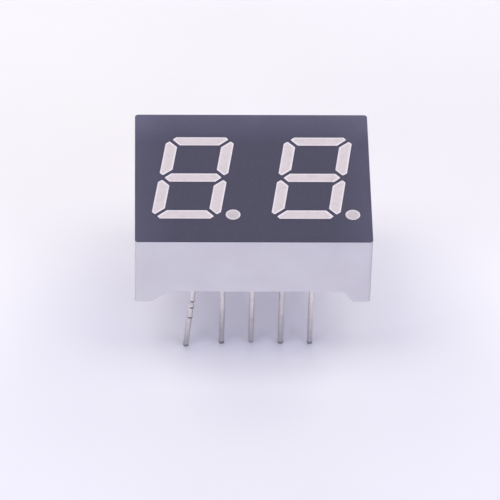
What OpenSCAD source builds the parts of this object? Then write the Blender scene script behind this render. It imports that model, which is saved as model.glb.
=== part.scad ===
// Two-digit seven segment display, standing on its pins.
// Millimetres. The origin is on the floor under the middle of the body: X runs along the digits,
// Y towards their tops and Z out of the face. The pin tips are at zero height.

/* [Body] */
// Width of the body, along the row of digits
body_w = 20.1; // [20:0.1:22]
// Depth of the body, from the foot of the digits to their tops
body_d = 15.8; // [15.6:0.1:18]
// Height from the undersides of the feet to the face
body_h = 7.1; // [6.9:0.1:9]
// Thickness of the outer walls
wall = 0.8; // [0.6:0.05:0.9]
// Radius of the four upright edges
edge_r = 0.4; // [0.1:0.05:0.6]
// Thickness of the dark coat on the face
coat_t = 0.05; // [0.03:0.01:0.1]
// Height of the feet at the four corners
foot_h = 1.2; // [0.9:0.1:1.4]
// Length of a foot's flat underside, along the wall
foot_flat = 1.5; // [1:0.1:2.2]
// Run of the slope beside the left feet
left_slope = 1.3; // [0.4:0.1:1.6]
// Run of the slope beside the right feet
right_slope = 0.8; // [0.4:0.1:1.6]

/* [Digits] */
// Height of a digit
digit_h = 10.16; // [9.6:0.02:10.4]
// Width of a digit before it leans
digit_w = 5.91; // [5.6:0.01:6.2]
// Distance between the centres of the two digits
digit_pitch = 10.16; // [9.9:0.02:10.4]
// Lean of the digits, in degrees
lean = 8.1; // [0:0.1:9]
// Width of a segment
stroke = 1.09; // [0.9:0.01:1.2]
// Gap between neighbouring segments
segment_gap = 0.3; // [0.2:0.01:0.4]
// Leg of the cut across each outer corner of a digit
corner_cut = 0.86; // [0.6:0.01:0.95]
// Inset of the points of the side segments at the digit's waist
waist_inset = 0.335; // [0.2:0.005:0.4]
// Gap between the points of the side segments at the digit's waist
waist_gap = 0.52; // [0.3:0.01:0.6]
// Radius on the corners of a segment
segment_r = 0.07; // [0.04:0.01:0.1]
// Diameter of the decimal point
dot_d = 1.3; // [1.2:0.01:1.4]
// Distance of the decimal point to the right of its digit's centre
dot_right = 3.35; // [3.3:0.01:3.5]
// Distance of the decimal point below its digit's centre
dot_drop = 4.55; // [4.3:0.01:4.6]

/* [Light wells] */
// Depth of the straight land at the top of each well
land_h = 0.6; // [0.3:0.05:1]
// Size of a segment well's floor, as a share of its mouth
floor_share = 0.55; // [0.5:0.01:0.7]
// Diameter of a point well's floor
dot_floor_d = 1.14; // [1.1:0.01:1.18]
// Thickness of the face over the hollows behind the digits
face_t = 1.1; // [0.8:0.05:1.5]
// Thickness of the wall between a hollow and the mouths of the wells round it
web_t = 0.7; // [0.5:0.05:0.8]

/* [Light chips] */
// Side of a light chip
chip_w = 0.28; // [0.2:0.01:0.3]
// Height of a light chip
chip_h = 0.2; // [0.15:0.01:0.25]
// Diameter of a bond wire
wire_d = 0.04; // [0.03:0.005:0.05]
// Reach of a bond wire, from its chip to its pad
bond_reach = 0.6; // [0.56:0.01:0.62]
// Width of the copper pads under a chip and under the foot of its wire
pad_w = 0.5; // [0.4:0.01:0.6]
// Gap between those two pads
pad_gap = 0.1; // [0.05:0.01:0.15]

/* [Board] */
// Thickness of the circuit board
board_t = 1; // [0.8:0.1:1.6]
// Thickness of the copper on both sides of the board
copper_t = 0.04; // [0.03:0.005:0.07]
// Gap between the edge of the board and the walls
board_fit = 0.1; // [0.05:0.01:0.15]
// Diameter of the ring of copper round a pin
ring_d = 1.2; // [1:0.05:1.6]
// Width of a copper track
track_w = 0.35; // [0.2:0.05:0.5]
// Length of a copper track, inwards from its pin
track_l = 2.4; // [1.5:0.1:3]
// Thickness of the resin poured in under the board
potting_t = 1; // [0.9:0.1:1.5]
// Depth of that resin's surface inside the rim of the walls
potting_recess = 0.15; // [0.05:0.05:0.3]

/* [Pins] */
// Pins in each of the two rows
pins_per_row = 5; // [3:2:7]
// Distance between neighbouring pins of a row
pin_pitch = 2.54; // [2.5:0.01:2.58]
// Distance between the two rows of pins
row_spacing = 12.7; // [12.6:0.01:12.72]
// Length of the pins below the feet
pin_reach = 6.5; // [3:0.1:12]
// Diameter of a pin's tinned leg
pin_d = 0.5; // [0.45:0.01:0.6]
// Diameter of the bare wire inside a pin, where the board and resin hold it
pin_core_d = 0.44; // [0.36:0.01:0.45]
// Length of the taper below the resin, over which the tin on a pin runs out
tin_start = 0.5; // [0.4:0.05:0.8]
// Bevel on the tip of a leg
tip_bevel = 0.08; // [0.04:0.01:0.12]
// Diameter of a pin's head on the board
head_d = 0.9; // [0.6:0.05:1]
// Height of a pin's head
head_h = 0.25; // [0.15:0.05:0.35]
// Clearance round a pin, and round what seals it
pin_fit = 0.02; // [0.01:0.005:0.04]
// Clearance between a pin's head and the housing
head_fit = 0.2; // [0.1:0.05:0.3]
// Height of the solder cone round a pin
solder_h = 0.6; // [0.4:0.05:0.7]
// Diameter of the solder cone at its thin end
solder_tip_d = 0.7; // [0.6:0.05:0.8]

/* [Wear] */
// How far the bent pin's tip has moved outwards, to the left
bend_left = 0.55; // [0.2:0.05:0.8]
// How far the bent pin's tip has moved outwards, to the front
bend_front = 0.36; // [0.1:0.02:0.6]
// Distance from the feet down to the bend
bend_drop = 0.4; // [0.2:0.1:1]
// Radius of the bend, along the middle of the pin
bend_r = 3; // [1:0.5:6]
// Depth of the nicks in the bent pin
nick_depth = 0.07; // [0.03:0.01:0.1]
// Width of the nicks in the bent pin
nick_w = 0.12; // [0.08:0.01:0.2]
// Drops from the bend to each nick, along the bent leg
nick_drops = [0.9, 1.6, 2.75]; // [0.5:0.05:4]
// How much shorter the middle pin of the front row is
short_pin = 0.15; // [0:0.05:0.4]

/* [Hidden] */
$fn = 48;
// Reach of a cut past the surface that it opens
over = 0.5;
// Sides of a bond wire, and straight lengths in a full turn of its loop
wire_sides = 6;
loop_steps = 12;
// Straight lengths in each rounded corner of a segment and of the body
segment_steps = 2;
edge_steps = 6;
// Sides of the bent leg, and rings of them along its bend
leg_sides = 32;
bend_steps = 5;

// Levels above the pin tips, from the feet up to the face
foot_z = pin_reach;
rim_z = foot_z + foot_h;
potting_z = rim_z + potting_recess;
board_z = potting_z + potting_t;
board_top_z = board_z + board_t;
seat_z = board_top_z + copper_t;
face_z = foot_z + body_h;
coat_z = face_z - coat_t;
land_z = face_z - land_h;
tin_top_z = potting_z - tin_start;

// Hole for a pin in the board, its copper, the solder and the resin
pin_hole_d = pin_core_d + 2 * pin_fit;

// Space between the walls
pocket_w = body_w - 2 * wall;
pocket_d = body_d - 2 * wall;

half_w = digit_w / 2;
half_h = digit_h / 2;
segments = ["a", "b", "c", "d", "e", "f", "g"];
digits = [1, 2];
pin_count = 2 * pins_per_row;

housing_colour = [0.86, 0.85, 0.87];
coat_colour = [0.35, 0.35, 0.41];
segment_colour = [0.9, 0.86, 0.88];
board_colour = [0.78, 0.74, 0.52];
copper_colour = [0.8, 0.5, 0.3];
solder_colour = [0.72, 0.72, 0.74];
pin_colour = [0.78, 0.78, 0.8];
potting_colour = [0.88, 0.88, 0.84];
chip_colour = [0.55, 0.2, 0.2];
wire_colour = [0.9, 0.75, 0.35];

function segment_name(d, s) = str("digit_", d, "_segment_", s);
function dot_name(d) = str("digit_", d, "_point");
function chip_name(d, s) = str("digit_", d, "_chip_", s);
function dot_chip_name(d) = str("digit_", d, "_chip_point");
function wires_name(d) = str("digit_", d, "_bond_wires");
function pin_name(n) = str("pin_", n);

// Outlines

// A point moved sideways by the lean of the digits
function leaned(p) = [p[0] + tan(lean) * p[1], p[1]];
// An outline mirrored left to right or top to bottom, with its points still in anticlockwise order
function reversed(points) = [for (i = [len(points) - 1 : -1 : 0]) points[i]];
function flip_x(points) = [for (p = reversed(points)) [-p[0], p[1]]];
function flip_y(points) = [for (p = reversed(points)) [p[0], -p[1]]];
function unit(v) = v / norm(v);

// Points of the arc that rounds the corner b, between its neighbours a and c
function corner_arc(a, b, c, r, steps) =
    let (
        to_a = unit(a - b),
        to_c = unit(c - b),
        half_angle = acos(to_a * to_c) / 2,
        middle = b + unit(to_a + to_c) * r / sin(half_angle),
        first = unit(b + to_a * r / tan(half_angle) - middle),
        last = unit(b + to_c * r / tan(half_angle) - middle),
        sweep = 180 - 2 * half_angle
    )
    [for (i = [0 : steps])
        middle + r * (sin(sweep * (1 - i / steps)) * first + sin(sweep * i / steps) * last) / sin(sweep)];

// A closed outline with each of its corners rounded
function rounded(points, r, steps) =
    let (n = len(points))
    [for (i = [0 : n - 1])
        each corner_arc(points[(i + n - 1) % n], points[i], points[(i + 1) % n], r, steps)];

function rectangle(w, d) = [[-w / 2, -d / 2], [w / 2, -d / 2], [w / 2, d / 2], [-w / 2, d / 2]];

// Shift along an axis of a line at 45 degrees that moves by half the segment gap
mitre_shift = segment_gap / sqrt(2);

// The top segment, upright: its outer corners are cut, and its ends are mitred at 45 degrees
function top_bar() =
    let (
        mitre = half_h - half_w + mitre_shift,
        cut = half_h + half_w - corner_cut,
        left = [
            [corner_cut - half_w, half_h],
            [(mitre - cut) / 2, (mitre + cut) / 2],
            [mitre - half_h + stroke, half_h - stroke]
        ]
    )
    concat(left, [for (i = [len(left) - 1 : -1 : 0]) [-left[i][0], left[i][1]]]);

// The upper left segment, upright: mitred at the top and pointed at the waist
function upper_left_bar() =
    let (
        mitre = half_h - half_w - mitre_shift,
        cut = half_h + half_w - corner_cut,
        tip = [waist_inset - half_w, waist_gap / 2],
        inner = stroke - half_w
    )
    [
        [-half_w, half_h - corner_cut],
        [-half_w, tip[1] + waist_inset],
        tip,
        [inner, tip[1] + inner - tip[0]],
        [inner, mitre - inner],
        [(mitre - cut) / 2, (mitre + cut) / 2]
    ];

// The middle segment, upright: its points lie the segment gap from the side segments
function middle_bar() =
    let (
        point = half_w - waist_inset + waist_gap / 2 - segment_gap * sqrt(2),
        shoulder = point - stroke / 2
    )
    [
        [-point, 0],
        [-shoulder, -stroke / 2],
        [shoulder, -stroke / 2],
        [point, 0],
        [shoulder, stroke / 2],
        [-shoulder, stroke / 2]
    ];

function upright_outline(s) =
    s == "a" ? top_bar() :
    s == "b" ? flip_x(upper_left_bar()) :
    s == "c" ? flip_x(flip_y(upper_left_bar())) :
    s == "d" ? flip_y(top_bar()) :
    s == "e" ? flip_y(upper_left_bar()) :
    s == "f" ? upper_left_bar() :
    middle_bar();

function segment_outline(s) = rounded([for (p = upright_outline(s)) leaned(p)], segment_r, segment_steps);

// Middle of a segment, from its digit's centre
side_x = half_w - stroke / 2;
bar_y = half_h - stroke / 2;
function segment_centre(s) = leaned(
    s == "a" ? [0, bar_y] :
    s == "b" ? [side_x, half_h / 2] :
    s == "c" ? [side_x, -half_h / 2] :
    s == "d" ? [0, -bar_y] :
    s == "e" ? [-side_x, -half_h / 2] :
    s == "f" ? [-side_x, half_h / 2] :
    [0, 0]
);

// Direction along a segment, from the X axis
function segment_angle(s) = (s == "a" || s == "d" || s == "g") ? 0 : 90 - lean;

function digit_x(d) = (d - (len(digits) + 1) / 2) * digit_pitch;
dot_centre = [dot_right, -dot_drop];

// Pins are counted from the front left, along the front row and back along the rear row
function pin_column(n) = n <= pins_per_row ? n : pin_count + 1 - n;
function pin_x(n) = (pin_column(n) - (pins_per_row + 1) / 2) * pin_pitch;
function pin_side(n) = n <= pins_per_row ? -1 : 1;
function pin_y(n) = pin_side(n) * row_spacing / 2;

bent_pin_n = 1;
short_pin_n = (pins_per_row + 1) / 2;

// Places for children

module at_digit(d) {
    translate([digit_x(d), 0, 0]) children();
}

// On the copper at the middle of a segment, with X along the segment
module at_segment(s) {
    c = segment_centre(s);
    translate([c[0], c[1], seat_z]) rotate([0, 0, segment_angle(s)]) children();
}

// On the copper of a decimal point, where its chip stands left of the middle and its pad right
module at_dot() {
    translate([dot_centre[0] - bond_reach / 2, dot_centre[1], seat_z]) children();
}

module at_pin(n) {
    translate([pin_x(n), pin_y(n), 0]) children();
}

// Wells and hollows of the housing

// A solid through rings of points, each ring the same number of points in anticlockwise order
module loft(rings) {
    n = len(rings[0]);
    top = (len(rings) - 1) * n;
    sides = [for (k = [0 : len(rings) - 2]) for (i = [0 : n - 1])
        [k * n + i, (k + 1) * n + i, (k + 1) * n + (i + 1) % n, k * n + (i + 1) % n]];
    base_cap = [for (i = [0 : n - 1]) i];
    top_cap = [for (i = [n - 1 : -1 : 0]) top + i];
    polyhedron(points = [for (ring = rings) each ring], faces = concat([base_cap, top_cap], sides));
}

function raised(points, z) = [for (p = points) [p[0], p[1], z]];

// A straight mouth at the face, and below it a taper to the floor on the board
module segment_well(s) {
    c = segment_centre(s);
    mouth = segment_outline(s);
    floor_ring = [for (p = mouth) c + (p - c) * floor_share];
    loft([raised(floor_ring, seat_z), raised(mouth, land_z), raised(mouth, face_z)]);
}

module dot_well() {
    translate([dot_centre[0], dot_centre[1], land_z]) cylinder(d = dot_d, h = land_h);
    translate([dot_centre[0], dot_centre[1], seat_z])
        cylinder(d1 = dot_floor_d, d2 = dot_d, h = land_z - seat_z);
}

// The hollow in the back of the housing inside one loop of a digit
module loop_hollow(side) {
    inner = half_w - stroke - web_t;
    low = stroke / 2 + web_t;
    high = half_h - stroke - web_t;
    corners = [[-inner, low], [inner, low], [inner, high], [-inner, high]];
    outline = [for (p = corners) leaned([p[0], side * p[1]])];
    translate([0, 0, seat_z - over])
        linear_extrude(height = face_z - face_t - seat_z + over) polygon(outline);
}

// The groove that clears the heads of one row of pins
module head_groove(side) {
    groove_w = head_d + 2 * head_fit;
    groove_l = (pins_per_row - 1) * pin_pitch + groove_w;
    groove_h = head_h + head_fit;
    translate([-groove_l / 2, side * row_spacing / 2 - groove_w / 2, seat_z - over])
        cube([groove_l, groove_w, groove_h + over]);
}

// The opening under the walls between two feet, seen from the front
module foot_notch(length, slope_a, slope_b) {
    start = foot_flat - length / 2;
    end = length / 2 - foot_flat;
    polygon([
        [start, foot_z - over],
        [start, foot_z],
        [start + slope_a, rim_z],
        [end - slope_b, rim_z],
        [end, foot_z],
        [end, foot_z - over]
    ]);
}

module notches() {
    rotate([90, 0, 0])
        translate([0, 0, -body_d / 2 - over])
            linear_extrude(height = body_d + 2 * over) foot_notch(body_w, left_slope, right_slope);
    rotate([90, 0, 90])
        translate([0, 0, -body_w / 2 - over])
            linear_extrude(height = body_w + 2 * over) foot_notch(body_d, right_slope, right_slope);
}

module body_outline() {
    polygon(rounded(rectangle(body_w, body_d), edge_r, edge_steps));
}

// The white moulding: walls, feet, the pocket for the board, and a tapered well for each light
module reflector_housing() {
    color(housing_colour) difference() {
        translate([0, 0, foot_z]) linear_extrude(height = coat_z - foot_z) body_outline();
        translate([-pocket_w / 2, -pocket_d / 2, foot_z - over])
            cube([pocket_w, pocket_d, seat_z - foot_z + over]);
        notches();
        for (side = [-1, 1]) head_groove(side);
        for (d = digits) at_digit(d) {
            for (s = segments) segment_well(s);
            dot_well();
            for (side = [-1, 1]) loop_hollow(side);
        }
    }
}

// The dark coat, open over each light
module face_coat() {
    color(coat_colour) difference() {
        translate([0, 0, coat_z]) linear_extrude(height = coat_t) body_outline();
        for (d = digits) at_digit(d) {
            for (s = segments)
                translate([0, 0, coat_z - over])
                    linear_extrude(height = coat_t + 2 * over) polygon(segment_outline(s));
            translate([dot_centre[0], dot_centre[1], coat_z - over])
                cylinder(d = dot_d, h = coat_t + 2 * over);
        }
    }
}

// Lights

module chip() {
    translate([-chip_w / 2, -chip_w / 2, 0]) cube([chip_w, chip_w, chip_h]);
}

// A loop of fine wire from the middle of a chip to its pad
module bond_wire() {
    translate([bond_reach, 0, 0]) cylinder(d = wire_d, h = chip_h, $fn = wire_sides);
    translate([bond_reach / 2, 0, chip_h])
        rotate([90, 0, 0])
            rotate_extrude(angle = 180, $fn = loop_steps)
                translate([bond_reach / 2, 0]) circle(d = wire_d, $fn = wire_sides);
}

// The milky resin that fills a well, cast round its chip and wire
module segment_resin(d, s) {
    color(segment_colour) at_digit(d) difference() {
        segment_well(s);
        at_segment(s) {
            chip();
            bond_wire();
        }
    }
}

module dot_resin(d) {
    color(segment_colour) at_digit(d) difference() {
        dot_well();
        at_dot() {
            chip();
            bond_wire();
        }
    }
}

module segment_chip(d, s) {
    color(chip_colour) at_digit(d) at_segment(s) chip();
}

module dot_chip(d) {
    color(chip_colour) at_digit(d) at_dot() chip();
}

module bond_wires(d) {
    color(wire_colour) at_digit(d) {
        for (s = segments) at_segment(s) bond_wire();
        at_dot() bond_wire();
    }
}

// Board

module pin_holes(low, high) {
    for (n = [1 : pin_count])
        at_pin(n) translate([0, 0, low - over]) cylinder(d = pin_hole_d, h = high - low + 2 * over);
}

module circuit_board() {
    board_w = pocket_w - 2 * board_fit;
    board_d = pocket_d - 2 * board_fit;
    color(board_colour) difference() {
        translate([-board_w / 2, -board_d / 2, board_z]) cube([board_w, board_d, board_t]);
        pin_holes(board_z, board_top_z);
    }
}

// A pad under a chip and a pad under the foot of its wire
module pads() {
    pad_l = bond_reach - pad_gap;
    for (x = [0, bond_reach])
        translate([x - pad_l / 2, -pad_w / 2, -copper_t]) cube([pad_l, pad_w, copper_t]);
}

module front_copper() {
    color(copper_colour) {
        for (d = digits) at_digit(d) {
            for (s = segments) at_segment(s) pads();
            at_dot() pads();
        }
        difference() {
            for (n = [1 : pin_count])
                at_pin(n) translate([0, 0, board_top_z]) cylinder(d = ring_d, h = copper_t);
            pin_holes(board_top_z, seat_z);
        }
    }
}

// A ring round each pin and a track from it towards the middle of the board
module back_copper_layout() {
    for (n = [1 : pin_count])
        at_pin(n) translate([0, 0, board_z - copper_t]) {
            cylinder(d = ring_d, h = copper_t);
            translate([-track_w / 2, pin_side(n) < 0 ? 0 : -track_l, 0]) cube([track_w, track_l, copper_t]);
        }
}

module back_copper() {
    color(copper_colour) difference() {
        back_copper_layout();
        pin_holes(board_z - copper_t, board_z);
    }
}

// The cones of solder on the copper rings, with extra all round for the resin's own cavities
module solder_cones(extra) {
    for (n = [1 : pin_count])
        at_pin(n) translate([0, 0, board_z - copper_t - solder_h - extra])
            cylinder(d1 = solder_tip_d + 2 * extra, d2 = ring_d + 2 * extra, h = solder_h + extra);
}

module solder_joints() {
    color(solder_colour) difference() {
        solder_cones(0);
        pin_holes(board_z - copper_t - solder_h, board_z - copper_t);
    }
}

// The resin poured in under the board
module potting() {
    color(potting_colour) difference() {
        translate([-pocket_w / 2, -pocket_d / 2, potting_z]) cube([pocket_w, pocket_d, potting_t]);
        back_copper_layout();
        solder_cones(pin_fit);
        pin_holes(potting_z, board_z);
    }
}

// Pins

// A straight pin in one turn of its outline, from the bevelled tip up: the tinned leg, the taper where
// the tin runs out, the bare wire that the resin and board hold, and the upset head
module straight_pin(tip_z) {
    r = pin_d / 2;
    core_r = pin_core_d / 2;
    head_r = head_d / 2;
    rotate_extrude() polygon([
        [0, tip_z],
        [r - tip_bevel, tip_z],
        [r, tip_z + tip_bevel],
        [r, tin_top_z],
        [core_r, potting_z],
        [core_r, seat_z],
        [head_r, seat_z],
        [head_r, seat_z + head_h],
        [0, seat_z + head_h]
    ]);
}

// A ring of points round a leg that leans by tilt in the XZ plane
function leg_ring(middle, tilt, r) = [for (i = [0 : leg_sides - 1])
    let (across = r * cos(360 * i / leg_sides), along = r * sin(360 * i / leg_sides))
    middle + [across * cos(tilt), along, across * sin(tilt)]];

// A wire bent outwards below the feet and nicked across its front, with its square tip on the floor
module bent_wire() {
    r = pin_d / 2;
    core_r = pin_core_d / 2;
    corner_z = foot_z - bend_drop;
    tilt = atan(norm([bend_left, bend_front]) / corner_z);
    heading = atan2(-bend_front, -bend_left);
    bend_top_z = corner_z + bend_r * tan(tilt / 2);
    lower_l = (corner_z - (r - tip_bevel) * sin(tilt)) / cos(tilt);
    upwards = [-sin(tilt), 0, cos(tilt)];
    tip = [0, 0, corner_z] - lower_l * upwards;
    bend = [for (i = [0 : bend_steps])
        let (a = tilt * (1 - i / bend_steps))
        leg_ring([bend_r * (1 - cos(a)), 0, bend_top_z - bend_r * sin(a)], a, r)];
    rotate([0, 0, heading]) difference() {
        loft(concat(
            [leg_ring(tip, tilt, r - tip_bevel)],
            [leg_ring(tip + tip_bevel * upwards, tilt, r)],
            bend,
            [leg_ring([0, 0, tin_top_z], 0, r)],
            [leg_ring([0, 0, potting_z], 0, core_r)],
            [leg_ring([0, 0, seat_z], 0, core_r)]
        ));
        for (drop = nick_drops)
            translate([0, 0, corner_z] - drop * upwards)
                rotate([0, -tilt, 0]) rotate([0, 0, -heading]) nick();
    }
}

// A notch across the front of a leg that runs along Z
module nick() {
    translate([-pin_d, -pin_d, -nick_w / 2]) cube([2 * pin_d, pin_d / 2 + nick_depth, nick_w]);
}

module bent_pin() {
    bent_wire();
    translate([0, 0, seat_z]) cylinder(d = head_d, h = head_h);
}

module pin(n) {
    color(pin_colour) at_pin(n) {
        if (n == bent_pin_n) bent_pin();
        else straight_pin(n == short_pin_n ? short_pin : 0);
    }
}

reflector_housing();
face_coat();
circuit_board();
front_copper();
back_copper();
solder_joints();
potting();
for (d = digits) {
    for (s = segments) {
        segment_resin(d, s);
        segment_chip(d, s);
    }
    dot_resin(d);
    dot_chip(d);
    bond_wires(d);
}
for (n = [1 : pin_count])
    pin(n);
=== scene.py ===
"""Looks of a two-digit seven segment display that stands on its pins.

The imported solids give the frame. Pieces whose edges or surfaces need more than
the solids hold are modelled here over them, and every other solid gets its
material. Sizes are in millimetres, and are turned to metres where a mesh is made.
"""

import logging
import math
from dataclasses import dataclass, field
from enum import Enum
from typing import Any, Protocol, Sequence

import bmesh
import bpy
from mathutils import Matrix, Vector


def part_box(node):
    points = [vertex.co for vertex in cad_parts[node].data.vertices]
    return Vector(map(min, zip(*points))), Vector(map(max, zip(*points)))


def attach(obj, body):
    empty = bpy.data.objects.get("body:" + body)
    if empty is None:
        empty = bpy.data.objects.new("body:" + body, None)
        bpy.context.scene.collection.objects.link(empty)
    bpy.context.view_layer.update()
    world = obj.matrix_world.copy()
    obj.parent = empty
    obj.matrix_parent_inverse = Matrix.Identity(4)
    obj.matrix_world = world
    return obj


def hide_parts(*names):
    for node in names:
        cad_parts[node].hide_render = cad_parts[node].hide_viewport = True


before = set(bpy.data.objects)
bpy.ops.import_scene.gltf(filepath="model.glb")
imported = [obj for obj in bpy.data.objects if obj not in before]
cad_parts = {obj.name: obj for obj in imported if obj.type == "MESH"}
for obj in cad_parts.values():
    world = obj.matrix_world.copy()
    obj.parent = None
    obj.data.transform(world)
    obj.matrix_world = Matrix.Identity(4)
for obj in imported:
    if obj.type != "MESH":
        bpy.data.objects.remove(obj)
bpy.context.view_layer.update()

LOG = logging.getLogger("display")
MM = 0.001
ROOT = "root"
DIGITS = (1, 2)
SEGMENTS = "abcdefg"
PIN_COUNT = 10
# The pin that was cropped short, and the height of its tip
SHORT_PIN, SHORT_TIP = 3, 0.15
# Angle between faces, in degrees, from which a solid's edge is a real one
SHARP = 20.0
# Angle between faces, in degrees, under which they are one flat face
FLAT = 0.5
# Distance under which two points, or two levels, are one
NEAR = 1e-4
# How much of its normal is upright in a face that looks up or down, and in a wall
LEVEL_FACE, WALL_FACE = 0.9, 0.1

Tree = bpy.types.NodeTree
Node = bpy.types.Node
Socket = bpy.types.NodeSocket
Mesh = bmesh.types.BMesh
Edge = bmesh.types.BMEdge
Vert = bmesh.types.BMVert
Face = bmesh.types.BMFace
Inputs = dict[int | str, Any]
Range = tuple[float, float]

# Upper corner of the body and height of its face, from the solids
BODY_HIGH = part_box("reflector_housing")[1] / MM
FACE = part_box("face_coat")[1].z / MM

# Sockets of a Mix node that mixes colours
SHARE, FIRST, SECOND, MIXED = 0, 6, 7, 2
# Part of its range that a noise pattern really fills
NOISE_SPAN = {"From Min": 0.3, "From Max": 0.7}
# A bump of just the height that it is given
FULL = {"Strength": 1.0}
# Length of one wave of a Wave texture at a scale of one
WAVE_PERIOD = 1 / 3.2


# Colours, node trees and meshes


def linear(code: str) -> tuple[float, float, float, float]:
    """Turn an sRGB colour into the linear one that a shader takes.

    Args:
        code: Six hex digits, such as "d8d4dc".

    Returns:
        Linear red, green and blue, with an alpha of one.
    """
    parts = [int(code[i : i + 2], 16) / 255 for i in (0, 2, 4)]
    r, g, b = [p / 12.92 if p <= 0.04045 else ((p + 0.055) / 1.055) ** 2.4 for p in parts]
    return (r, g, b, 1.0)


def per_metre(size: float) -> float:
    """Give the scale of a pattern whose features are size millimetres across."""
    return 1.0 / (size * MM)


def ends(way: str, values: Range) -> Inputs:
    """Name both ends of a range.

    Args:
        way: "From" or "To".
        values: The two ends.

    Returns:
        The ends under the names of their inputs.
    """
    return {f"{way} Min": values[0], f"{way} Max": values[1]}


def add(tree: Tree, kind: str, inputs: Inputs | None = None, **settings: Any) -> Node:
    """Add a node with its settings, its values and its links.

    Args:
        tree: Node tree that takes the node.
        kind: Type name of the node.
        inputs: Value, or socket to link from, for each input.
        **settings: Properties of the node.

    Returns:
        The new node.
    """
    node = tree.nodes.new(kind)
    for name, value in settings.items():
        setattr(node, name, value)
    for name, value in (inputs or {}).items():
        if isinstance(value, Socket):
            tree.links.new(value, node.inputs[name])
        else:
            node.inputs[name].default_value = value
    return node


def in_metres(bm: Mesh) -> None:
    """Turn a mesh that was shaped in millimetres into metres."""
    bmesh.ops.scale(bm, vec=(MM, MM, MM), verts=bm.verts[:])


def merged_copy(node: str) -> Mesh:
    """Copy a solid's loose triangles as one joined mesh in millimetres.

    Args:
        node: Name of the solid.

    Returns:
        A mesh with its doubles merged and its flat faces dissolved.
    """
    bm = bmesh.new()
    bm.from_mesh(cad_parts[node].data)
    bmesh.ops.scale(bm, vec=(1 / MM, 1 / MM, 1 / MM), verts=bm.verts[:])
    bmesh.ops.remove_doubles(bm, verts=bm.verts[:], dist=NEAR)
    bmesh.ops.dissolve_limit(
        bm, angle_limit=math.radians(FLAT), verts=bm.verts[:], edges=bm.edges[:]
    )
    return bm


def bevel(bm: Mesh, edges: Sequence[Edge], offset: float, segments: int) -> None:
    """Round some edges.

    Args:
        bm: Mesh to change.
        edges: Edges to round.
        offset: Width of the rounding on each face, in the mesh's own unit.
        segments: Number of faces across the rounding.
    """
    bmesh.ops.bevel(
        bm,
        geom=list(edges),
        offset=offset,
        offset_type="OFFSET",
        affect="EDGES",
        segments=segments,
        profile=0.5,
        material=-1,
        clamp_overlap=True,
    )


def inset(bm: Mesh, faces: Sequence[Face], width: float, rise: float) -> list[Vert]:
    """Inset some faces together, and move them up or down.

    Args:
        bm: Mesh to change.
        faces: Faces to inset.
        width: Width of the band that is left round them.
        rise: Way up of the inset faces.

    Returns:
        Their vertices, in the same order on every run.
    """
    bmesh.ops.inset_region(
        bm,
        faces=list(faces),
        thickness=width,
        depth=0.0,
        use_even_offset=True,
        use_boundary=True,
    )
    inner = list(dict.fromkeys(v for f in faces for v in f.verts))
    bmesh.ops.translate(bm, verts=inner, vec=(0.0, 0.0, rise))
    return inner


def finished(
    bm: Mesh,
    name: str,
    material: bpy.types.Material,
    replaces: Sequence[str],
    crease: float = 30.0,
) -> bpy.types.Object:
    """Turn a mesh in millimetres into a piece of the display.

    Args:
        bm: Mesh, which is used up.
        name: Name of the piece.
        material: Its material.
        replaces: Solids that it stands for.
        crease: Angle in degrees from which an edge stays sharp.

    Returns:
        The piece, riding on the display.
    """
    in_metres(bm)
    mesh = bpy.data.meshes.new(name)
    bm.to_mesh(mesh)
    bm.free()
    for stale in ("custom_normal", "sharp_edge", "sharp_face"):
        if stale in mesh.attributes:
            mesh.attributes.remove(mesh.attributes[stale])
    mesh.shade_smooth()
    mesh.set_sharp_from_angle(angle=math.radians(crease))
    mesh.materials.append(material)
    piece = bpy.data.objects.new(name, mesh)
    bpy.context.scene.collection.objects.link(piece)
    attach(piece, ROOT)
    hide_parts(*replaces)
    LOG.info("%s: %d faces, for %s", name, len(mesh.polygons), ", ".join(replaces))
    return piece


def dress(node: str, material: bpy.types.Material) -> None:
    """Give a solid that keeps its shape its material.

    Args:
        node: Name of the solid.
        material: Material for all of it.
    """
    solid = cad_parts[node]
    if not solid.material_slots:
        solid.data.materials.append(material)
    for slot in solid.material_slots:
        slot.material = material
    LOG.info("%s: keeps its solid, in %s", node, material.name)


# Finishes


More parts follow.
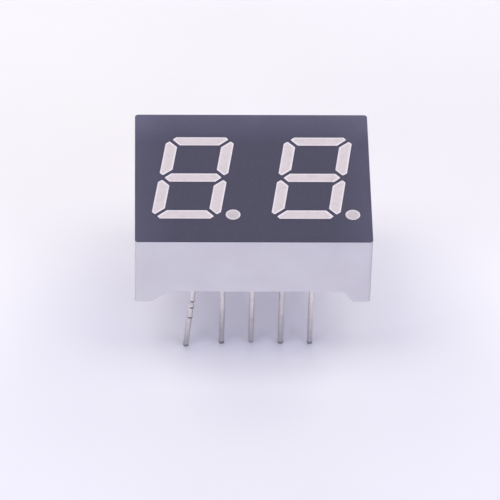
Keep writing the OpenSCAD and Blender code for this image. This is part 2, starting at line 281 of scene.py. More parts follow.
@dataclass(frozen=True)
class Finish:
    """What every finish has: a name, and a material made on first use."""

    name: str = "finish"

    def material(self) -> bpy.types.Material:
        """Make the material, or give the one already made.

        Returns:
            The material, whose patterns lie on Object coordinates.
        """
        if self.name in bpy.data.materials:
            return bpy.data.materials[self.name]
        made = bpy.data.materials.new(self.name)
        made.use_nodes = True
        tree = made.node_tree
        tree.nodes.clear()
        place = add(tree, "ShaderNodeTexCoord").outputs["Object"]
        shader = add(tree, "ShaderNodeBsdfPrincipled", self.recipe(tree, place))
        add(tree, "ShaderNodeOutputMaterial", {"Surface": shader.outputs["BSDF"]})
        return made

    def recipe(self, tree: Tree, place: Socket) -> Inputs:
        """Add the patterns, and say what each socket of the shader gets.

        Args:
            tree: The material's node tree.
            place: Object coordinates, in metres.

        Returns:
            A value or a socket for each input of the principled shader.
        """
        raise NotImplementedError

    @staticmethod
    def clouds(tree: Tree, place: Socket, size: float, colours: tuple[str, str]) -> Socket:
        """Cloud one colour with another.

        Args:
            tree: The material's node tree.
            place: Coordinates of the pattern, in metres.
            size: Size of the clouds, in millimetres.
            colours: The two colours, in sRGB hex.

        Returns:
            The clouded colour.
        """
        cloud = add(
            tree, "ShaderNodeTexNoise", {"Vector": place, "Scale": per_metre(size), "Detail": 3.0}
        ).outputs["Fac"]
        share = add(tree, "ShaderNodeMapRange", {"Value": cloud, **NOISE_SPAN}).outputs["Result"]
        return add(
            tree,
            "ShaderNodeMix",
            {SHARE: share, FIRST: linear(colours[0]), SECOND: linear(colours[1])},
            data_type="RGBA",
        ).outputs[MIXED]

    @staticmethod
    def tooth(
        tree: Tree,
        place: Socket,
        size: float,
        detail: float,
        depth: float,
        rough: Range,
        under: Socket | None = None,
    ) -> Inputs:
        """Give the surface a fine tooth, which is rougher where it rises.

        Args:
            tree: The material's node tree.
            place: Coordinates of the pattern, in metres.
            size: Size of the tooth, in millimetres.
            detail: Octaves of finer tooth in it.
            depth: Height of the tooth, in millimetres.
            rough: Roughness of its hollows and of its tops.
            under: Normal that the tooth lies on, where the surface has a coarser relief.

        Returns:
            The shader's roughness and normal.
        """
        grain = add(
            tree,
            "ShaderNodeTexNoise",
            {"Vector": place, "Scale": per_metre(size), "Detail": detail},
        ).outputs["Fac"]
        roughness = add(
            tree, "ShaderNodeMapRange", {"Value": grain, **NOISE_SPAN, **ends("To", rough)}
        ).outputs["Result"]
        inputs = {"Height": grain, "Distance": depth * MM, **FULL}
        if under is not None:
            inputs["Normal"] = under
        relief = add(tree, "ShaderNodeBump", inputs).outputs["Normal"]
        return {"Roughness": roughness, "Normal": relief}


@dataclass(frozen=True)
class MouldedPolycarbonate(Finish):
    """Polycarbonate filled with titanium white, moulded against a spark-eroded tool.

    It looks chalky white with a soft sheen, a fine even grain, and a faint
    mottling where the melt flowed. The tool's grain is about 0.03 mm, and is
    drawn four times as coarse, so that it shows.
    """

    name: str = "titanium-white moulded polycarbonate"
    colour: str = "c4beb9"
    shade: str = "bfb8b4"
    grain: float = 0.12
    grain_depth: float = 0.0025
    flow: float = 3.2
    rough: Range = (0.42, 0.56)
    ior: float = 1.585
    gloss: float = 0.35

    def recipe(self, tree: Tree, place: Socket) -> Inputs:
        """Mottle the colour, and grain the surface.

        Args:
            tree: The material's node tree.
            place: Object coordinates, in metres.

        Returns:
            What each input of the shader gets.
        """
        return {
            "Base Color": self.clouds(tree, place, self.flow, (self.colour, self.shade)),
            "IOR": self.ior,
            "Specular IOR Level": self.gloss,
            **self.tooth(tree, place, self.grain, 4.0, self.grain_depth, self.rough),
        }


@dataclass(frozen=True)
class PrintedInk(Finish):
    """Two-part ink rolled onto the face, dark grey with a violet cast.

    It is matt, with the fine peel of a rolled coat, and painted sheen makes it
    paler towards the top and side edges.
    """

    name: str = "matt rolled ink"
    colour: str = "3c3a4d"
    # Painted sheen: the paler colour that the ink is given towards the top and side edges
    painted_sheen: str = "5a5870"
    peel: float = 0.25
    peel_depth: float = 0.003
    cloud: float = 2.6
    cloudiness: Range = (0.82, 1.1)
    side_margin: float = 3.4
    side_share: float = 0.4
    top_margin: float = 3.6
    top_share: float = 0.75
    rough: Range = (0.5, 0.66)
    gloss: float = 0.3

    def recipe(self, tree: Tree, place: Socket) -> Inputs:
        """Paint sheen on the ink towards three edges, and give it its peel.

        Args:
            tree: The material's node tree.
            place: Object coordinates, in metres.

        Returns:
            What each input of the shader gets.
        """
        parts = add(tree, "ShaderNodeSeparateXYZ", {"Vector": place}).outputs
        across = add(tree, "ShaderNodeMath", {0: parts["X"]}, operation="ABSOLUTE").outputs[0]
        side, top = (
            add(
                tree,
                "ShaderNodeMapRange",
                {"Value": way, **ends("From", ((edge - margin) * MM, edge * MM)), "To Max": share},
            ).outputs["Result"]
            for way, edge, margin, share in (
                (across, BODY_HIGH.x, self.side_margin, self.side_share),
                (parts["Y"], BODY_HIGH.y, self.top_margin, self.top_share),
            )
        )
        # Painted sheen: the ink is painted paler towards the sides and the top, unevenly
        soft = add(tree, "ShaderNodeMath", {0: side, 1: top}, operation="ADD").outputs[0]
        cloud = add(
            tree,
            "ShaderNodeTexNoise",
            {"Vector": place, "Scale": per_metre(self.cloud), "Detail": 2.0},
        ).outputs["Fac"]
        uneven = add(
            tree,
            "ShaderNodeMapRange",
            {"Value": cloud, **NOISE_SPAN, **ends("To", self.cloudiness)},
        ).outputs["Result"]
        share = add(
            tree, "ShaderNodeMath", {0: soft, 1: uneven}, operation="MULTIPLY", use_clamp=True
        ).outputs[0]
        colour = add(
            tree,
            "ShaderNodeMix",
            {SHARE: share, FIRST: linear(self.colour), SECOND: linear(self.painted_sheen)},
            data_type="RGBA",
        ).outputs[MIXED]
        return {
            "Base Color": colour,
            "Specular IOR Level": self.gloss,
            **self.tooth(tree, place, self.peel, 3.0, self.peel_depth, self.rough),
        }


@dataclass(frozen=True)
class MilkyEpoxy(Finish):
    """Epoxy with a diffuser in it, cast in the wells and cured flush.

    It looks like clouded glass: a warm pinkish grey in the middle, where it is
    deep, and whiter at its rim, where the moulding shines through.
    """

    name: str = "milky cast epoxy of a segment"
    deep: str = "ddd0d2"
    cloudy: str = "d6cccf"
    rim: str = "f3ebf1"
    cloud: float = 0.9
    ripple: float = 0.5
    ripple_depth: float = 0.0008
    rough: Range = (0.24, 0.38)
    ior: float = 1.52
    gloss: float = 0.4

    def recipe(self, tree: Tree, place: Socket) -> Inputs:
        """Cloud the deep resin, and whiten it along the rim attribute.

        Args:
            tree: The material's node tree.
            place: Object coordinates, in metres.

        Returns:
            What each input of the shader gets.
        """
        deep = self.clouds(tree, place, self.cloud, (self.deep, self.cloudy))
        rim = add(
            tree, "ShaderNodeAttribute", attribute_name="rim", attribute_type="GEOMETRY"
        ).outputs["Fac"]
        colour = add(
            tree,
            "ShaderNodeMix",
            {SHARE: rim, FIRST: deep, SECOND: linear(self.rim)},
            data_type="RGBA",
        ).outputs[MIXED]
        return {
            "Base Color": colour,
            "IOR": self.ior,
            "Specular IOR Level": self.gloss,
            **self.tooth(tree, place, self.ripple, 2.0, self.ripple_depth, self.rough),
        }


@dataclass(frozen=True)
class PottingEpoxy(Finish):
    """Epoxy poured in under the board: off-white, glossy, with a few pinholes."""

    name: str = "poured potting epoxy"
    colour: str = "bfbcb4"
    shade: str = "b1ada4"
    cloud: float = 2.2
    gleam: float = 0.8
    rough: Range = (0.16, 0.3)
    pinhole: float = 1.4
    pinhole_edge: Range = (0.05, 0.14)
    pinhole_depth: float = 0.02
    wave: float = 3.0
    wave_depth: float = 0.03
    ior: float = 1.52

    def recipe(self, tree: Tree, place: Socket) -> Inputs:
        """Cloud the resin, and sink its pinholes.

        Args:
            tree: The material's node tree.
            place: Object coordinates, in metres.

        Returns:
            What each input of the shader gets.
        """
        gleam, swell = (
            add(
                tree,
                "ShaderNodeTexNoise",
                {"Vector": place, "Scale": per_metre(size), "Detail": 2.0},
            ).outputs["Fac"]
            for size in (self.gleam, self.wave)
        )
        rough = add(
            tree, "ShaderNodeMapRange", {"Value": gleam, **NOISE_SPAN, **ends("To", self.rough)}
        ).outputs["Result"]
        waves = add(
            tree, "ShaderNodeBump", {"Height": swell, "Distance": self.wave_depth * MM, **FULL}
        ).outputs["Normal"]
        holes = add(
            tree, "ShaderNodeTexVoronoi", {"Vector": place, "Scale": per_metre(self.pinhole)}
        ).outputs["Distance"]
        pits = add(
            tree, "ShaderNodeMapRange", {"Value": holes, **ends("From", self.pinhole_edge)}
        ).outputs["Result"]
        relief = add(
            tree,
            "ShaderNodeBump",
            {"Height": pits, "Distance": self.pinhole_depth * MM, "Normal": waves, **FULL},
        ).outputs["Normal"]
        return {
            "Base Color": self.clouds(tree, place, self.cloud, (self.colour, self.shade)),
            "Roughness": rough,
            "Normal": relief,
            "IOR": self.ior,
        }


@dataclass(frozen=True)
class HotTinnedWire(Finish):
    """Steel wire dipped in tin, cropped to length.

    It is bright with drawn lines along the wire, a little dull in patches, with
    painted shade low down, and dark at its cropped end and in its nicks, partly
    bare metal and partly painted shade. The lines are about 0.02 mm apart, and
    are drawn three times as coarse, so that they show.
    """

    name: str = "hot-tinned wire"
    bright: str = "e4dfdd"
    dull: str = "cfc9c8"
    patch: float = 0.9
    patch_edge: Range = (0.4, 0.7)
    # Painted shade: the wire is painted darker low down, near the shaded floor
    low: str = "a9a4a8"
    low_shade_span: Range = (0.0, 4.5)
    low_shade_share: float = 0.6
    # Dark tip and nicks: partly bare metal, partly painted shade near the floor and in the notches
    cropped: str = "4b4544"
    crop_span: Range = (0.08, 0.42)
    crop_share: float = 0.9
    bare_metallic: float = 0.1
    line: float = 0.06
    line_stretch: float = 25.0
    line_depth: float = 0.0005
    rough: Range = (0.16, 0.27)
    wave: float = 0.9
    wave_depth: float = 0.0012

    def recipe(self, tree: Tree, place: Socket) -> Inputs:
        """Draw lines along the wire, dull it in patches, paint shade low down, and darken its end.

        Args:
            tree: The material's node tree.
            place: Object coordinates, in metres.

        Returns:
            What each input of the shader gets.
        """
        patches = add(
            tree,
            "ShaderNodeTexNoise",
            {"Vector": place, "Scale": per_metre(self.patch), "Detail": 3.0},
        ).outputs["Fac"]
        dulled = add(
            tree, "ShaderNodeMapRange", {"Value": patches, **ends("From", self.patch_edge)}
        ).outputs["Result"]
        height = add(tree, "ShaderNodeSeparateXYZ", {"Vector": place}).outputs["Z"]
        # Painted shade low down; at the tip, bare cut metal with painted shade near the floor
        low_shade, end = (
            add(
                tree,
                "ShaderNodeMapRange",
                {
                    "Value": height,
                    **ends("From", (low * MM, high * MM)),
                    **ends("To", (share, 0.0)),
                },
            ).outputs["Result"]
            for (low, high), share in (
                (self.low_shade_span, self.low_shade_share),
                (self.crop_span, self.crop_share),
            )
        )
        nick = add(
            tree, "ShaderNodeAttribute", attribute_name="nick", attribute_type="GEOMETRY"
        ).outputs["Fac"]
        # Nicks and tip darkened: partly bare metal, partly painted shade
        bare = add(tree, "ShaderNodeMath", {0: end, 1: nick}, operation="MAXIMUM").outputs[0]
        colour = linear(self.bright)
        for share, over in ((dulled, self.dull), (low_shade, self.low), (bare, self.cropped)):
            colour = add(
                tree,
                "ShaderNodeMix",
                {SHARE: share, FIRST: colour, SECOND: linear(over)},
                data_type="RGBA",
            ).outputs[MIXED]
        metallic = add(
            tree,
            "ShaderNodeMapRange",
            {"Value": bare, "From Max": self.crop_share, **ends("To", (1.0, self.bare_metallic))},
        ).outputs["Result"]
        drawn = add(
            tree,
            "ShaderNodeMapping",
            {"Vector": place, "Scale": (1.0, 1.0, 1.0 / self.line_stretch)},
        ).outputs["Vector"]
        swell = add(
            tree,
            "ShaderNodeTexNoise",
            {"Vector": place, "Scale": per_metre(self.wave), "Detail": 1.0},
        ).outputs["Fac"]
        waves = add(
            tree, "ShaderNodeBump", {"Height": swell, "Distance": self.wave_depth * MM, **FULL}
        ).outputs["Normal"]
        lines = self.tooth(tree, drawn, self.line, 2.0, self.line_depth, self.rough, waves)
        return {"Base Color": colour, "Metallic": metallic, **lines}


@dataclass(frozen=True)
class GlassLaminate(Finish):
    """Glass cloth in epoxy, pressed into sheet: tan, with its weave showing."""

    name: str = "pressed glass-cloth laminate"
    colour: str = "c5bb85"
    thread: str = "aea36c"
    pitch: float = 0.5
    wander: float = 0.6
    rough: Range = (0.34, 0.5)
    depth: float = 0.006

    def recipe(self, tree: Tree, place: Socket) -> Inputs:
        """Cross two sets of threads, half a millimetre apart.

        Args:
            tree: The material's node tree.
            place: Object coordinates, in metres.

        Returns:
            What each input of the shader gets.
        """
        threads = [
            add(
                tree,
                "ShaderNodeTexWave",
                {
                    "Vector": place,
                    "Scale": per_metre(self.pitch) * WAVE_PERIOD,
                    "Distortion": self.wander,
                    "Detail": 1.0,
                },
                bands_direction=way,
            ).outputs["Fac"]
            for way in ("X", "Y")
        ]
        weave = add(
            tree, "ShaderNodeMath", {0: threads[0], 1: threads[1]}, operation="MULTIPLY"
        ).outputs[0]
        colour = add(
            tree,
            "ShaderNodeMix",
            {SHARE: weave, FIRST: linear(self.colour), SECOND: linear(self.thread)},
            data_type="RGBA",
        ).outputs[MIXED]
        rough = add(
            tree, "ShaderNodeMapRange", {"Value": weave, **ends("To", self.rough)}
        ).outputs["Result"]
        relief = add(
            tree, "ShaderNodeBump", {"Height": weave, "Distance": self.depth * MM, **FULL}
        ).outputs["Normal"]
        return {"Base Color": colour, "Roughness": rough, "Normal": relief}


@dataclass(frozen=True)
class SmallPart(Finish):
    """A small bare metal or semiconductor piece with a fine surface of its own."""

    colour: str = "c8c8cc"
    stain: str = "a0a0a4"
    rough: Range = (0.24, 0.4)
    metallic: float = 1.0
    grain: float = 0.08
    depth: float = 0.001
    stain_size: float = 0.48

    def recipe(self, tree: Tree, place: Socket) -> Inputs:
        """Stain the colour, and grain the surface.

        Args:
            tree: The material's node tree.
            place: Object coordinates, in metres.

        Returns:
            What each input of the shader gets.
        """
        return {
            "Base Color": self.clouds(tree, place, self.stain_size, (self.colour, self.stain)),
            "Metallic": self.metallic,
            **self.tooth(tree, place, self.grain, 3.0, self.depth, self.rough),
        }


class Inner(Enum):
    """Finishes of the small pieces that the body hides."""

    # Copper etched from foil: pink-brown, with a brushed tooth
    COPPER = SmallPart(
        "etched copper foil", "c98763", "a9694b", (0.28, 0.44), 1.0, 0.06, 0.001, 0.36
    )
    # Tin that froze round the pins: bright, slightly frosted
    SOLDER = SmallPart(
        "frozen bright solder", "cfcfd2", "a8a8ad", (0.22, 0.38), 1.0, 0.1, 0.003, 0.6
    )
    # A chip sawn from a grown wafer: dark red, dull on its sawn sides
    CHIP = SmallPart("sawn light chip", "8a3a34", "6d2c2a", (0.36, 0.52), 0.0, 0.03, 0.0008, 0.18)
    # Gold drawn to a fine wire: warm and bright
    GOLD = SmallPart("drawn gold wire", "f0cf8a", "d8ad62", (0.16, 0.32), 1.0, 0.02, 0.0004, 0.12)


# Pieces


class Piece(Protocol):
    """Anything that main builds."""

    def build(self) -> None:
        """Make the piece."""


@dataclass(frozen=True)
class UprightEdges:
    """The body's four upright edges, which the real moulding has at a smaller radius."""

    solid_r: float = 0.4
    worn_r: float = 0.28
    on_arc: float = 0.9

    def tighten(self, bm: Mesh) -> None:
        """Turn the edges at the smaller radius.

        Args:
            bm: Merged copy of a solid that has those edges.
        """
        for v in bm.verts:
            across = abs(v.co.x) - (BODY_HIGH.x - self.solid_r)
            along = abs(v.co.y) - (BODY_HIGH.y - self.solid_r)
            out = math.hypot(across, along)
            if min(across, along) < 0.0 or out < self.on_arc * self.solid_r:
                continue
            turn = math.atan2(along, across)
            inset = self.worn_r
            v.co.x = math.copysign(BODY_HIGH.x - inset + inset * math.cos(turn), v.co.x)
            v.co.y = math.copysign(BODY_HIGH.y - inset + inset * math.sin(turn), v.co.y)


@dataclass
class Housing:
    """The white moulding: walls, feet and the pocket under the board."""

    edge_round: float = 0.03
    segments: int = 2
    rim_top: float = 9.0
    rim_rise: float = 1.6
    crease: float = 14.0
    uprights: UprightEdges = field(default_factory=UprightEdges)
    finish: MouldedPolycarbonate = field(default_factory=MouldedPolycarbonate)

    def is_rim(self, edge: Edge) -> bool:
        """Tell whether an edge is a sharp one along the walls' lower rim.

        Args:
            edge: Edge of the merged copy.

        Returns:
            True for a sharp edge of the rim, the notches and the feet.
        """
        if len(edge.link_faces) != 2 or edge.calc_face_angle(0.0) < math.radians(SHARP):
            return False
        heights = [v.co.z for v in edge.verts]
        return max(heights) < self.rim_top and max(heights) - min(heights) < self.rim_rise

    def build(self) -> None:
        """Round the edges of the feet and walls on a copy of the solid."""
        bm = merged_copy("reflector_housing")
        self.uprights.tighten(bm)
        bevel(bm, [e for e in bm.edges if self.is_rim(e)], self.edge_round, self.segments)
        finished(
            bm,
            "moulded_housing",
            self.finish.material(),
            ["reflector_housing"],
            self.crease,
        )


@dataclass
class PrintedFace:
    """The dark coat on the face, open over each light."""

    edge_round: float = 0.018
    segments: int = 2
    crease: float = 14.0
    creep: float = 0.025
    mitre_back: float = 0.012
    lean: float = 8.1
    slanted: float = 0.8
    straight: float = 0.95
    point_size: float = 0.8
    margin: float = 0.5
    corner_limit: float = 0.5
    uprights: UprightEdges = field(default_factory=UprightEdges)
    finish: PrintedInk = field(default_factory=PrintedInk)

    @property
    def points(self) -> list[Vector]:
        """Give the middles of the decimal points, as the solids have them.

        Returns:
            One place in the face for each digit.
        """
        boxes = [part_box(f"digit_{digit}_point") for digit in DIGITS]
        return [(low.xy + high.xy) / (2 * MM) for low, high in boxes]

    def is_outside(self, v: Vert) -> bool:
        """Tell where a vertex lies.

        Args:
            v: Vertex of the coat.

        Returns:
            True on the coat's outer edge, and false round a light.
        """
        over = (abs(v.co.x) - BODY_HIGH.x, abs(v.co.y) - BODY_HIGH.y)
        return max(over) > -self.margin

    def reach(self, out: Vector) -> float:
        """Give the ink's reach over the edge of a segment.

        Args:
            out: Way from the ink to the segment.

        Returns:
            The reach, which is less than nought at the mitred ends.
        """
        lean = math.radians(self.lean)
        squareness = max(abs(out.y), abs(out.x * math.cos(lean) - out.y * math.sin(lean)))
        share = (squareness - self.slanted) / (self.straight - self.slanted)
        share = min(max(share, 0.0), 1.0)
        return self.creep * share - self.mitre_back * (1.0 - share)

    def close_in(self, bm: Mesh) -> None:
        """Carry the ink a little over the long sides of each light.

        Args:
            bm: Merged copy of the coat.
        """
        points = self.points
        moves = {}
        for v in bm.verts:
            walls = [f.normal for f in v.link_faces if abs(f.normal.z) < WALL_FACE]
            if self.is_outside(v) or not walls:
                continue
            out = sum(walls, Vector()).normalized()
            by_point = any((v.co.xy - point).length < self.point_size for point in points)
            reach = self.creep if by_point else self.reach(out)
            moves[v] = out * reach / max(out.dot(walls[0]), self.corner_limit)
        for v, move in moves.items():
            v.co += move

    def build(self) -> None:
        """Close the coat in on the lights, and round its outer edge, as ink levels."""
        bm = merged_copy("face_coat")
        bm.normal_update()
        self.close_in(bm)
        self.uprights.tighten(bm)
        top = [
            e
            for e in bm.edges
            if all(abs(v.co.z - FACE) < NEAR and self.is_outside(v) for v in e.verts)
            and len(e.link_faces) == 2
            and e.calc_face_angle(0.0) > math.radians(SHARP)
        ]
        bevel(bm, top, self.edge_round, self.segments)
        finished(bm, "printed_face", self.finish.material(), ["face_coat"], self.crease)


@dataclass(frozen=True)
class Band:
    """One band of a light's surface: its width, its drop, and how white it is."""

    width: float
    drop: float
    whiteness: float


@dataclass
class Light:
    """One well of milky resin, with the shallow dish of its cured surface."""

    node: str
    sunk: float = 0.025
    bands: tuple[Band, ...] = (
        Band(0.06, 0.004, 1.0),
        Band(0.09, 0.006, 0.3),
        Band(0.1, 0.004, 0.0),
    )
    merge: float = 0.04
    crease: float = 2.0
    finish: MilkyEpoxy = field(default_factory=MilkyEpoxy)

    def build(self) -> None:
        """Inset the surface in bands, each lower and less white than the last."""
        bm = merged_copy(self.node)
        rim = bm.verts.layers.float.new("rim")
        level = FACE - self.sunk
        for v in bm.verts:
            v[rim] = 1.0
            v.co.z = min(v.co.z, level)
        for band in self.bands:
            surface = [
                f
                for f in bm.faces
                if f.normal.z > LEVEL_FACE and all(abs(v.co.z - level) < NEAR for v in f.verts)
            ]
            inner = inset(bm, surface, band.width, -band.drop)
            level -= band.drop
            for v in inner:
                v[rim] = band.whiteness
            bmesh.ops.remove_doubles(bm, verts=inner, dist=self.merge)
        finished(
            bm,
            f"{self.node}_resin",
            self.finish.material(),
            [self.node],
            self.crease,
        )


@dataclass
class Pin:
    """One tinned wire with its upset head, turned about its own axis."""

    number: int
    pitch: float = 2.54
    row: float = 6.35
    per_row: int = 5
    tip: float = 0.0
    radius: float = 0.232
    core: float = 0.21
    tip_bevel: float = 0.05
    tin_top: float = 7.35
    potting: float = 7.85
    seat: float = 9.89
    head_radius: float = 0.45
    head_height: float = 0.25
    head_side: float = 0.6
    head_crown: float = 0.8
    step: float = 0.16
    waviness: float = 0.002
    swell: float = 2.3
    ripple: float = 5.1
    stagger: float = 1.7
    sides: int = 32
    crease: float = 40.0
    finish: HotTinnedWire = field(default_factory=HotTinnedWire)

    @property
    def place(self) -> tuple[float, float]:
        """Find the pin's place, counted round the body from the front left.

        Returns:
            Its X and Y.
        """
        column = self.number if self.number <= self.per_row else PIN_COUNT + 1 - self.number
        x = (column - (self.per_row + 1) / 2) * self.pitch
        return x, -self.row if self.number <= self.per_row else self.row

    def heights(self) -> list[float]:
        """Space the rings along the tinned leg.

        Returns:
            Their heights, from the bevel up.
        """
        low = self.tip + self.tip_bevel
        count = round((self.tin_top - low) / self.step)
        return [low + (self.tin_top - low) * i / count for i in range(count + 1)]

    def thinning(self, z: float) -> float:
        """Thin the tin a little in waves that differ from pin to pin.

        Args:
            z: Height on the wire.

        Returns:
            How much is taken off the radius there.
        """
        wave = math.sin(z * self.swell + self.number * self.stagger)
        wave *= math.sin(z * self.ripple + self.number)
        return self.waviness * (0.5 + 0.5 * wave)

    def profile(self) -> list[tuple[float, float]]:
        """Outline the wire from its tip to its head.

        Returns:
            Radius and height of each point.
        """
        points = [(0.0, self.tip), (self.radius - self.tip_bevel, self.tip)]
        points += [(self.radius - self.thinning(z), z) for z in self.heights()]
        points += [
            (self.core, self.potting),
            (self.core, self.seat),
            (self.head_radius, self.seat),
            (self.head_radius, self.seat + self.head_height * self.head_side),
            (self.head_radius * self.head_crown, self.seat + self.head_height),
            (0.0, self.seat + self.head_height),
        ]
        return points

    def turned(self) -> Mesh:
        """Spin the outline into a wire.

        Returns:
            A closed mesh, upright at the middle of the frame.
        """
        bm = bmesh.new()
        verts = [bm.verts.new((r, 0.0, z)) for r, z in self.profile()]
        edges = [bm.edges.new(pair) for pair in zip(verts, verts[1:])]
        bmesh.ops.spin(
            bm,
            geom=verts + edges,
            cent=(0.0, 0.0, 0.0),
            axis=(0.0, 0.0, 1.0),
            angle=math.tau,
            steps=self.sides,
            use_merge=True,
        )
        bmesh.ops.remove_doubles(bm, verts=bm.verts[:], dist=NEAR)
        bmesh.ops.recalc_face_normals(bm, faces=bm.faces[:])
        return bm

    def shaped(self) -> Mesh:
        """Give the wire its own shape, which is straight unless it is worn."""
        return self.turned()

    def build(self) -> None:
        """Put the wire in its place."""
        bm = self.shaped()
        bmesh.ops.translate(bm, verts=bm.verts[:], vec=(*self.place, 0.0))
        node = f"pin_{self.number}"
        finished(bm, f"{node}_wire", self.finish.material(), [node], self.crease)


@dataclass
class BentPin(Pin):
    """The front left pin, bent outwards below the feet and nicked across its front right."""

    left: float = 0.55
    front: float = 0.36
    corner: float = 6.1
    bend_radius: float = 3.0
    nicks: tuple[float, ...] = (0.9, 1.6, 2.75)
    nick_width: float = 0.12
    nick_rings: tuple[float, ...] = (-2.0, -1.5, -1.02, -0.98, 0.0, 0.98, 1.02, 1.5, 2.0)
    nick_depth: float = 0.07
    dark_reach: float = 1.3
    dark_side: float = 0.3
    darkness: float = 0.85
    burr: float = 0.03
    burr_reach: float = 2.2
    burr_side: float = 0.5

    @property
    def nick_side(self) -> Vector:
        """Way that the nicks face, which is the front right."""
        return Vector((1.0, -1.0, 0.0)).normalized()

    @property
    def tilt(self) -> float:
        """Angle of the lower leg from upright."""
        return math.atan(math.hypot(self.left, self.front) / self.corner)

    @property
    def bend_top(self) -> float:
        """Height at which the bend starts."""
        return self.corner + self.bend_radius * math.tan(self.tilt / 2)

    def along(self, drop: float) -> float:
        """Give the height on the straight wire of a point of the bent one.

        Args:
            drop: How far the point lies below the corner of the bend, along the wire.

        Returns:
            The height, which the shorter way round the bend raises.
        """
        saved = 2 * self.bend_radius * math.tan(self.tilt / 2) - self.bend_radius * self.tilt
        return self.corner - drop + saved

    def __post_init__(self) -> None:
        """Lengthen the straight wire, so that its tip reaches the floor once bent."""
        flat = self.radius - self.tip_bevel
        drop = (self.corner - flat * math.sin(self.tilt)) / math.cos(self.tilt)
        self.tip = self.along(drop)

    def heights(self) -> list[float]:
        """Add closer rings round each nick to those of the plain leg.

        Returns:
            Their heights, from the bevel up.
        """
        extra = [
            self.along(drop) + self.nick_width * ring / 2
            for drop in self.nicks
            for ring in self.nick_rings
        ]
        return sorted(super().heights() + extra)

    def nick(self, bm: Mesh) -> None:
        """Cut flat notches, with the metal pushed up beside them, and mark them dark, as bare
        metal and painted shade.

        Args:
            bm: The straight wire.
        """
        half = self.nick_width / 2
        mark = bm.verts.layers.float.new("nick")
        for v in bm.verts:
            for drop in self.nicks:
                away = abs(v.co.z - self.along(drop)) / half
                facing = v.co.dot(self.nick_side)
                if away < self.dark_reach and facing > self.dark_side * self.radius:
                    # Painted shade in the notch, with bare metal
                    v[mark] = self.darkness
                if away < 1.0:
                    v.co -= self.nick_side * max(facing + self.nick_depth - self.radius, 0.0)
                elif away < self.burr_reach and facing > self.burr_side * self.radius:
                    share = (self.burr_reach - away) / (self.burr_reach - 1.0)
                    lift = self.burr * share * facing / self.radius
                    v.co += Vector((v.co.x, v.co.y, 0.0)).normalized() * lift

    def bent(self, point: Vector) -> Vector:
        """Carry a point of the straight wire to the bent one.

        Args:
            point: Point on or in the straight wire.

        Returns:
            The same point after the bend.
        """
        run = self.bend_top - point.z
        if run <= 0.0:
            return point
        angle = min(run / self.bend_radius, self.tilt)
        rest = run - self.bend_radius * angle
        out = self.bend_radius * (1 - math.cos(angle)) + rest * math.sin(angle)
        down = self.bend_radius * math.sin(angle) + rest * math.cos(angle)
        way = Vector((-self.left, -self.front, 0.0)).normalized()
        side = point.x * way.x + point.y * way.y
        across = Vector((point.x, point.y, 0.0)) - way * side
        height = self.bend_top - down + side * math.sin(angle)
        return across + way * (out + side * math.cos(angle)) + Vector((0.0, 0.0, height))

    def shaped(self) -> Mesh:
        """Nick the wire, and then bend it.

        Returns:
            The worn wire.
        """
        bm = self.turned()
        self.nick(bm)
        for v in bm.verts:
            v.co = self.bent(v.co.copy())
        return bm


@dataclass
class PottingPool:
    """The resin under the board, which creeps up the walls and the pins."""

    surface: float = 7.85
    creep: float = 0.18
    sink: float = 0.07
    steps: tuple[float, ...] = (0.65, 0.35)
    crease: float = 30.0
    finish: PottingEpoxy = field(default_factory=PottingEpoxy)

    def poured_faces(self, bm: Mesh) -> list[Face]:
        """Find the poured surface, which is the highest of the faces that look down.

        Args:
            bm: Merged copy of the resin.

        Returns:
            Its faces.
        """
        poured = [
            f
            for f in bm.faces
            if f.normal.z < -LEVEL_FACE
            and all(v.co.z < self.surface + self.sink for v in f.verts)
        ]
        level = max(f.calc_center_median().z for f in poured)
        return [f for f in poured if f.calc_center_median().z > level - 10 * NEAR]

    def build(self) -> None:
        """Sink the poured surface between its walls and pins."""
        bm = merged_copy("potting")
        for share in self.steps:
            inset(bm, self.poured_faces(bm), self.creep / 2, self.sink * share)
        finished(
            bm, "potting_pool", self.finish.material(), ["potting"], self.crease
        )


@dataclass
class Interior:
    """Board, copper, solder, chips and bond wires, which keep their solids."""

    laminate: GlassLaminate = field(default_factory=GlassLaminate)

    def build(self) -> None:
        """Dress each hidden solid."""
        dress("circuit_board", self.laminate.material())
        dress("front_copper", Inner.COPPER.value.material())
        dress("back_copper", Inner.COPPER.value.material())
        dress("solder_joints", Inner.SOLDER.value.material())
        for digit in DIGITS:
            for place in [*SEGMENTS, "point"]:
                dress(f"digit_{digit}_chip_{place}", Inner.CHIP.value.material())
            dress(f"digit_{digit}_bond_wires", Inner.GOLD.value.material())


# Floor, lights and camera


@dataclass(frozen=True)
class PaleCard(Finish):
    """Uncoated card under the display: dead matt, with painted light that makes it a little whiter
    towards the back.
    """

    name: str = "pale card"
    near: str = "f2eff6"
    far: str = "f9f6f9"
    run: float = 30.0
    rough: float = 0.9

    def recipe(self, tree: Tree, place: Socket) -> Inputs:
        """Paint light on the card, whiter from the front of its run to the back.

        Args:
            tree: The material's node tree.
            place: Object coordinates, in metres.

        Returns:
            What each input of the shader gets.
        """
        # Painted light: the card is painted whiter towards the back
        depth = add(tree, "ShaderNodeSeparateXYZ", {"Vector": place}).outputs["Y"]
        run = self.run * MM
        share = add(
            tree, "ShaderNodeMapRange", {"Value": depth, **ends("From", (-run, run))}
        ).outputs["Result"]
        colour = add(
            tree,
            "ShaderNodeMix",
            {SHARE: share, FIRST: linear(self.near), SECOND: linear(self.far)},
            data_type="RGBA",
        ).outputs[MIXED]
        return {"Base Color": colour, "Roughness": self.rough, "Specular IOR Level": 0.0}


@dataclass(frozen=True)
class Panel:
    """One lit panel of the tent round the display.

    It stands turn degrees round from the display's right side, and height
    degrees up.
    """

    name: str
    turn: float
    height: float
    watts: float
    colour: str


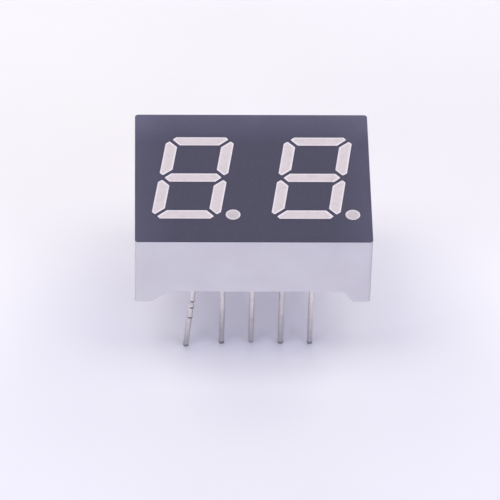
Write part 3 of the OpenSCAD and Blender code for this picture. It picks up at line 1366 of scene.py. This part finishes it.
@dataclass
class Studio:
    """A pale floor in a tent of soft panels, seen as the display was photographed."""

    card: PaleCard = field(default_factory=PaleCard)
    floor_size: float = 3000.0
    tent_colour: str = "f6f5ff"
    tent_fill: float = 0.03
    tent_shine: float = 0.5
    tent_radius: float = 500.0
    panel_size: float = 260.0
    panels: tuple[Panel, ...] = (
        Panel("low back panel", 90.0, 14.0, 1.09, "e8e2ff"),
        Panel("low left panel", 225.0, 14.0, 1.14, "e5ecff"),
        Panel("low front panel", 270.0, 14.0, 0.86, "d2e1ff"),
        Panel("low right panel", 315.0, 14.0, 0.81, "baacff"),
        Panel("back right panel", 45.0, 40.0, 0.45, "fffbf6"),
        Panel("back left panel", 135.0, 40.0, 0.42, "fffff7"),
        Panel("front right panel", 315.0, 40.0, 0.22, "e2fffe"),
        Panel("high right panel", 0.0, 65.0, 0.50, "fffae6"),
        Panel("high left panel", 180.0, 65.0, 0.60, "fff9ef"),
        Panel("top panel", 0.0, 90.0, 0.38, "eff6ff"),
    )
    elevation: float = 44.297
    azimuth: float = -2.051
    roll: float = 1.551
    shift_right: float = -0.221
    shift_up: float = -6.19
    distance: float = 403.212
    lens: float = 339.77
    film: float = 36.0
    clip: Range = (0.01, 20.0)

    def floor(self) -> None:
        """Lay a wide sheet of pale card under the pins."""
        bm = bmesh.new()
        bmesh.ops.create_grid(bm, x_segments=1, y_segments=1, size=self.floor_size / 2)
        in_metres(bm)
        mesh = bpy.data.meshes.new("floor")
        bm.to_mesh(mesh)
        bm.free()
        mesh.materials.append(self.card.material())
        plane = bpy.data.objects.new("floor", mesh)
        bpy.context.scene.collection.objects.link(plane)
        LOG.info("floor: %.0f mm of pale card", self.floor_size)

    def tent(self) -> None:
        """Close the room with pale cloth, which is seen and mirrored but hardly lights."""
        world = bpy.data.worlds.new("pale tent")
        bpy.context.scene.world = world
        world.use_nodes = True
        tree = world.node_tree
        tree.nodes.clear()
        ray = add(tree, "ShaderNodeLightPath").outputs
        mirrored = add(
            tree,
            "ShaderNodeMapRange",
            {"Value": ray["Is Glossy Ray"], **ends("To", (self.tent_fill, self.tent_shine))},
        ).outputs["Result"]
        strength = add(
            tree, "ShaderNodeMath", {0: mirrored, 1: ray["Is Camera Ray"]}, operation="MAXIMUM"
        ).outputs[0]
        cloth = add(
            tree,
            "ShaderNodeBackground",
            {"Color": linear(self.tent_colour), "Strength": strength},
        )
        add(tree, "ShaderNodeOutputWorld", {"Surface": cloth.outputs["Background"]})
        LOG.info("tent: fill %.2f, shine %.2f", self.tent_fill, self.tent_shine)

    def light(self, panel: Panel) -> None:
        """Stand a soft panel in the tent, facing the display.

        Args:
            panel: The panel to stand.
        """
        data = bpy.data.lights.new(panel.name, "AREA")
        data.shape = "SQUARE"
        data.size = self.panel_size * MM
        data.energy = panel.watts
        data.color = linear(panel.colour)[:3]
        turn, height = math.radians(panel.turn), math.radians(panel.height)
        level = math.cos(height)
        away = Vector((level * math.cos(turn), level * math.sin(turn), math.sin(height)))
        middle = Vector((0.0, 0.0, FACE / 2))
        lamp = bpy.data.objects.new(panel.name, data)
        lamp.location = (middle + away * self.tent_radius) * MM
        lamp.rotation_euler = (-away).to_track_quat("-Z", "Y").to_euler()
        bpy.context.scene.collection.objects.link(lamp)
        LOG.info("%s: %.2f W", panel.name, panel.watts)

    def camera(self) -> None:
        """Stand the camera where the photograph was taken from."""
        e, a, r = (math.radians(v) for v in (self.elevation, self.azimuth, self.roll))
        back = Vector((math.sin(a) * math.cos(e), -math.cos(a) * math.cos(e), math.sin(e)))
        level = Vector((math.cos(a), math.sin(a), 0.0))
        rise = back.cross(level)
        right = level * math.cos(r) + rise * math.sin(r)
        up = rise * math.cos(r) - level * math.sin(r)
        data = bpy.data.cameras.new("camera")
        data.sensor_width = self.film
        data.lens = self.lens
        data.clip_start, data.clip_end = self.clip
        camera = bpy.data.objects.new("camera", data)
        centre = right * self.shift_right + up * self.shift_up + back * self.distance
        centre += Vector((0.0, 0.0, FACE))
        place = camera.matrix_world.copy()
        for column, part in enumerate((right, up, back, centre * MM)):
            for row in range(3):
                place[row][column] = part[row]
        camera.matrix_world = place
        bpy.context.scene.collection.objects.link(camera)
        bpy.context.scene.camera = camera
        LOG.info("camera: %.1f mm lens at %.0f mm", self.lens, self.distance)

    def build(self) -> None:
        """Set the floor, the lights and the camera."""
        bpy.context.scene.view_settings.view_transform = "Standard"
        self.floor()
        self.tent()
        for panel in self.panels:
            self.light(panel)
        self.camera()


def main() -> None:
    """Build the display from its housing outwards, and set up the studio."""
    logging.basicConfig(level=logging.INFO, format="%(message)s")
    pieces: list[Piece] = [Housing(), PrintedFace(), PottingPool(), Interior()]
    pieces += [Light(f"digit_{d}_segment_{s}") for d in DIGITS for s in SEGMENTS]
    dull = MilkyEpoxy("milky cast epoxy of a point", deep="cfc5c8", cloudy="c7bfc2")
    pieces += [Light(f"digit_{d}_point", finish=dull) for d in DIGITS]
    pieces += [BentPin(1)]
    pieces += [Pin(n, tip=SHORT_TIP if n == SHORT_PIN else 0.0) for n in range(2, PIN_COUNT + 1)]
    pieces += [Studio()]
    for piece in pieces:
        piece.build()


if __name__ == "__main__":
    main()
